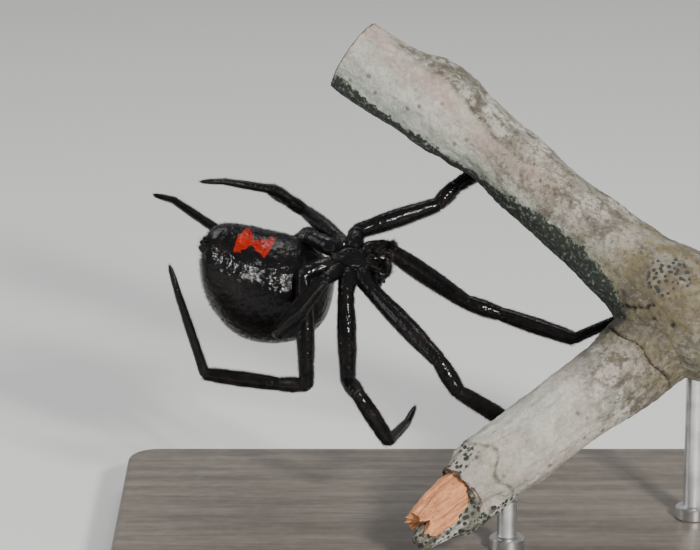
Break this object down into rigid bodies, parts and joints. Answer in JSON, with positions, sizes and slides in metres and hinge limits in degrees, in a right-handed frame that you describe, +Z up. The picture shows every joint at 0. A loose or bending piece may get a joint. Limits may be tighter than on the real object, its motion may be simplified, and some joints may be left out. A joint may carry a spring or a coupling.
{
  "type": "black widow spider model",
  "caption": "Life-size still model of a female black widow spider, belly up beside a cut forked twig, on a flat display base with short rods.",
  "frame": {"origin": "middle of the base's underside, which is the middle of the bottom of the model's box", "axes": "+Z up; +X to the right as the picture shows the animal, from its abdomen to the fork of the twig; +Y away from the camera of the picture"},
  "size_m": [0.04, 0.026, 0.0326],
  "materials": {
    "cuticle": "glossy black cuticle with short hairs",
    "bark": "dry grey bark",
    "torn_wood": "torn orange-brown wood",
    "base_wood": "satin maple",
    "rod_steel": "plain steel"
  },
  "bodies": {
    "root": {"cephalothorax": "cuticle", "abdomen": "cuticle", "chelicera_left": "cuticle", "chelicera_right": "cuticle", "pedipalp_left": "cuticle", "pedipalp_right": "cuticle", "leg_1_left_femur": "cuticle", "leg_1_left_tibia": "cuticle", "leg_1_left_tarsus": "cuticle", "leg_1_right_femur": "cuticle", "leg_1_right_tibia": "cuticle", "leg_1_right_tarsus": "cuticle", "leg_2_left_femur": "cuticle", "leg_2_left_tibia": "cuticle", "leg_2_left_tarsus": "cuticle", "leg_2_right_femur": "cuticle", "leg_2_right_tibia": "cuticle", "leg_2_right_tarsus": "cuticle", "leg_3_left_femur": "cuticle", "leg_3_left_tibia": "cuticle", "leg_3_left_tarsus": "cuticle", "leg_3_right_femur": "cuticle", "leg_3_right_tibia": "cuticle", "leg_3_right_tarsus": "cuticle", "leg_4_left_femur": "cuticle", "leg_4_left_tibia": "cuticle", "leg_4_left_tarsus": "cuticle", "leg_4_right_femur": "cuticle", "leg_4_right_tibia": "cuticle", "leg_4_right_tarsus": "cuticle", "perch_branch": "bark", "perch_fork": "bark", "perch_torn_wood": "torn_wood", "stand_base": "base_wood", "stand_rod_trunk": "rod_steel", "stand_rod_fork": "rod_steel"}
  },
  "joints": []
}
